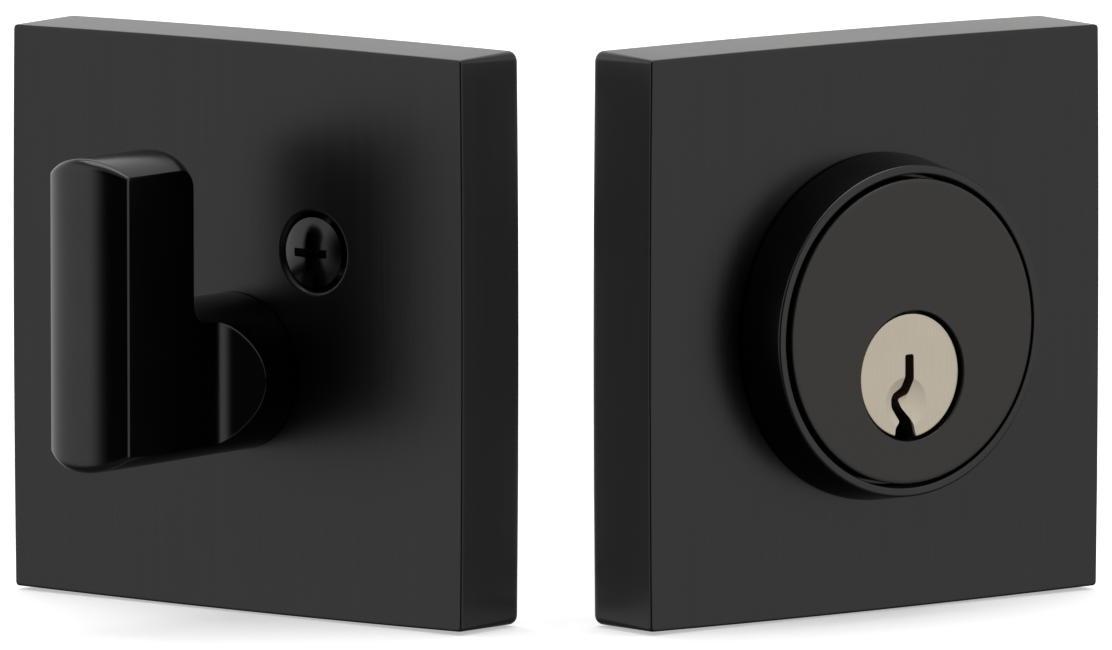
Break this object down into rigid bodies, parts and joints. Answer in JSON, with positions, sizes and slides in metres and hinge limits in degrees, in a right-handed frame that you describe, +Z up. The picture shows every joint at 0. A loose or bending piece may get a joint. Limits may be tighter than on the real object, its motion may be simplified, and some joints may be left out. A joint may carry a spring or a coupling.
{
  "type": "deadbolt door lock",
  "caption": "Square-rose deadbolt lock: thumbturn trim, key cylinder trim with guard collar, crank-driven bolt unit, strike plate and dust box, with working pins, plug and bolt.",
  "frame": {"origin": "middle of the base of the whole set's box, on the surface that it stands on", "axes": "+Z up; -Y towards the viewer, whom both trims face in a V; +Y towards the bolt unit and strike behind them; +X to the key cylinder's side"},
  "size_m": [0.1292, 0.1652, 0.0667],
  "materials": {
    "black_plate": "satin black over a fine upright brushed grain",
    "black_lever": "smooth satin black with soft highlights",
    "black_collar": "smooth satin black with bright edges",
    "black_face": "satin black, faintly warm",
    "black_screw": "gloss black",
    "satin_nickel": "satin nickel with a fine brushed grain",
    "zinc_plated_steel": "zinc plate, faintly mottled",
    "cast_zinc": "plain cast zinc",
    "plain_steel": "drawn steel",
    "brass_pin": "turned brass",
    "spring_steel": "bright spring wire"
  },
  "bodies": {
    "lock_body": {"interior_rose": "black_plate", "interior_backing_plate": "zinc_plated_steel", "thumbturn_washer": "plain_steel", "through_screw_left": "black_screw", "through_screw_right": "black_screw", "exterior_rose": "black_plate", "exterior_backing_plate": "zinc_plated_steel", "cylinder_housing": "black_face", "pin_chamber_cover": "zinc_plated_steel", "pin_spring_1": "spring_steel", "pin_spring_2": "spring_steel", "pin_spring_3": "spring_steel", "pin_spring_4": "spring_steel", "pin_spring_5": "spring_steel", "bolt_faceplate": "satin_nickel", "bolt_backing_plate": "zinc_plated_steel", "bolt_sleeve": "zinc_plated_steel", "bolt_case_upper": "zinc_plated_steel", "bolt_case_lower": "zinc_plated_steel", "case_rivet_1": "plain_steel", "case_rivet_2": "plain_steel", "faceplate_screw_1": "satin_nickel", "faceplate_screw_2": "satin_nickel", "strike_plate": "satin_nickel", "strike_box": "zinc_plated_steel", "strike_screw_1": "satin_nickel", "strike_screw_2": "satin_nickel"},
    "thumbturn": {"thumbturn": "black_lever", "thumbturn_spindle": "zinc_plated_steel", "thumbturn_clip": "spring_steel"},
    "collar": {"guard_collar": "black_collar"},
    "plug": {"key_plug": "satin_nickel", "plug_retainer": "zinc_plated_steel"},
    "tailpiece": {"tailpiece": "plain_steel"},
    "bolt": {"dead_bolt": "satin_nickel", "bolt_hardened_pin": "plain_steel"},
    "crank": {"bolt_crank": "cast_zinc"},
    "key_pin_1": {"key_pin_1": "brass_pin"},
    "driver_pin_1": {"driver_pin_1": "brass_pin"},
    "key_pin_2": {"key_pin_2": "brass_pin"},
    "driver_pin_2": {"driver_pin_2": "brass_pin"},
    "key_pin_3": {"key_pin_3": "brass_pin"},
    "driver_pin_3": {"driver_pin_3": "brass_pin"},
    "key_pin_4": {"key_pin_4": "brass_pin"},
    "driver_pin_4": {"driver_pin_4": "brass_pin"},
    "key_pin_5": {"key_pin_5": "brass_pin"},
    "driver_pin_5": {"driver_pin_5": "brass_pin"}
  },
  "joints": [
    {"name": "thumbturn_turn", "type": "hinge", "parent": "lock_body", "child": "thumbturn", "pos_m": [-0.0372, -0.05777, 0.02815], "axis": [-0.6088, -0.7934, 0], "range_deg": [0, 90]},
    {"name": "tailpiece_turn", "type": "hinge", "parent": "lock_body", "child": "tailpiece", "pos_m": [0.0372, -0.05777, 0.02815], "axis": [-0.6088, 0.7934, 0], "range_deg": [0, 90]},
    {"name": "crank_turn", "type": "hinge", "parent": "lock_body", "child": "crank", "pos_m": [-0.0311, 0.02196, 0.01102], "axis": [0, 0.0285, -0.9996], "range_deg": [0, 90]},
    {"name": "bolt_throw", "type": "slide", "parent": "lock_body", "child": "bolt", "axis": [0, 0.9996, 0.0285], "range_m": [0, 0.0254]},
    {"name": "plug_turn", "type": "hinge", "parent": "lock_body", "child": "plug", "pos_m": [0.0372, -0.05777, 0.02815], "axis": [0.6088, -0.7934, 0], "range_deg": [-90, 90]},
    {"name": "collar_spin", "type": "hinge", "parent": "lock_body", "child": "collar", "pos_m": [0.0372, -0.05777, 0.03335], "axis": [0.6088, -0.7934, 0], "continuous": true},
    {"name": "key_pin_1_lift", "type": "slide", "parent": "plug", "child": "key_pin_1", "axis": [0, 0, 1], "range_m": [0, 0.0025]},
    {"name": "key_pin_2_lift", "type": "slide", "parent": "plug", "child": "key_pin_2", "axis": [0, 0, 1], "range_m": [0, 0.0016]},
    {"name": "key_pin_3_lift", "type": "slide", "parent": "plug", "child": "key_pin_3", "axis": [0, 0, 1], "range_m": [0, 0.003]},
    {"name": "key_pin_4_lift", "type": "slide", "parent": "plug", "child": "key_pin_4", "axis": [0, 0, 1], "range_m": [0, 0.0013]},
    {"name": "key_pin_5_lift", "type": "slide", "parent": "plug", "child": "key_pin_5", "axis": [0, 0, 1], "range_m": [0, 0.0021]},
    {"name": "driver_pin_1_lift", "type": "slide", "parent": "lock_body", "child": "driver_pin_1", "axis": [0, 0, 1], "range_m": [0, 0.003], "stiffness_N_per_m": 60, "springref_m": -0.002, "deforming": ["pin_spring_1"]},
    {"name": "driver_pin_2_lift", "type": "slide", "parent": "lock_body", "child": "driver_pin_2", "axis": [0, 0, 1], "range_m": [0, 0.003], "stiffness_N_per_m": 60, "springref_m": -0.002, "deforming": ["pin_spring_2"]},
    {"name": "driver_pin_3_lift", "type": "slide", "parent": "lock_body", "child": "driver_pin_3", "axis": [0, 0, 1], "range_m": [0, 0.003], "stiffness_N_per_m": 60, "springref_m": -0.002, "deforming": ["pin_spring_3"]},
    {"name": "driver_pin_4_lift", "type": "slide", "parent": "lock_body", "child": "driver_pin_4", "axis": [0, 0, 1], "range_m": [0, 0.003], "stiffness_N_per_m": 60, "springref_m": -0.002, "deforming": ["pin_spring_4"]},
    {"name": "driver_pin_5_lift", "type": "slide", "parent": "lock_body", "child": "driver_pin_5", "axis": [0, 0, 1], "range_m": [0, 0.003], "stiffness_N_per_m": 60, "springref_m": -0.002, "deforming": ["pin_spring_5"]}
  ],
  "couplings": [
    {"joint": "tailpiece_turn", "follows": "thumbturn_turn", "ratio": 1},
    {"joint": "crank_turn", "follows": "thumbturn_turn", "ratio": 1},
    {"joint": "bolt_throw", "follows": "thumbturn_turn", "m_per_rad": 0.01617}
  ]
}
